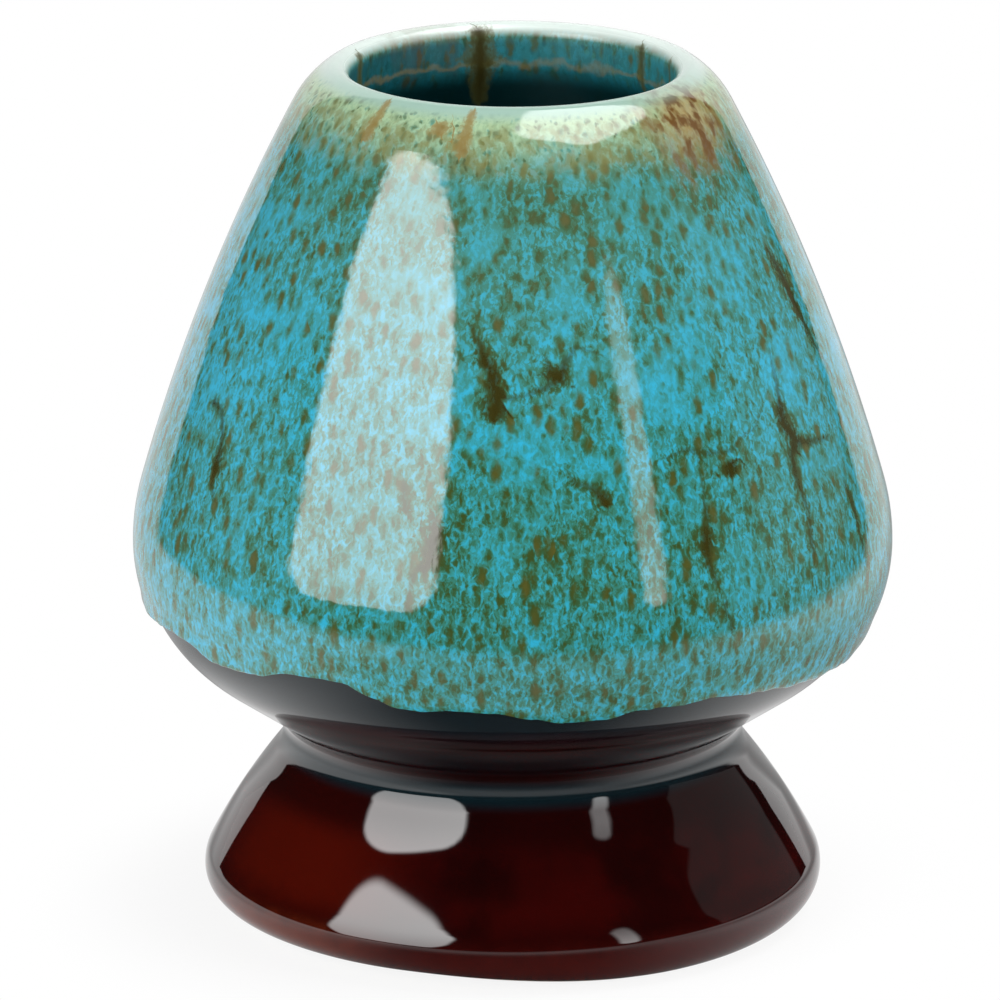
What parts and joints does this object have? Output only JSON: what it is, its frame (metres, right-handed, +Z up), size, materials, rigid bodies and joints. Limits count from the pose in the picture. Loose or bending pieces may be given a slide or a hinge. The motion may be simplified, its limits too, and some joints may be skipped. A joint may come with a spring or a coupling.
{
  "type": "tea whisk holder",
  "caption": "Glazed stoneware holder for a bamboo tea whisk: a hollow cone-shaped bowl with a narrow rolled mouth on a flared foot.",
  "frame": {"origin": "centre of the foot ring's standing face, on the axis of the turned form", "axes": "+Z up along the turning axis out of the mouth, -Y towards the side that the picture shows, +X to its right"},
  "size_m": [0.0658, 0.0658, 0.0754],
  "materials": {
    "stoneware": "bare fired clay, matte",
    "iron_glaze": "glossy dark red-brown iron glaze",
    "turquoise_glaze": "glossy turquoise glaze with olive-brown flecks and a pale celadon rim"
  },
  "bodies": {
    "root": {"body_shell": "stoneware", "foot_stand": "stoneware", "joint_slip": "stoneware", "base_glaze": "iron_glaze", "run_glaze": "turquoise_glaze", "lining_glaze": "turquoise_glaze", "foot_lining_glaze": "iron_glaze"}
  },
  "joints": []
}
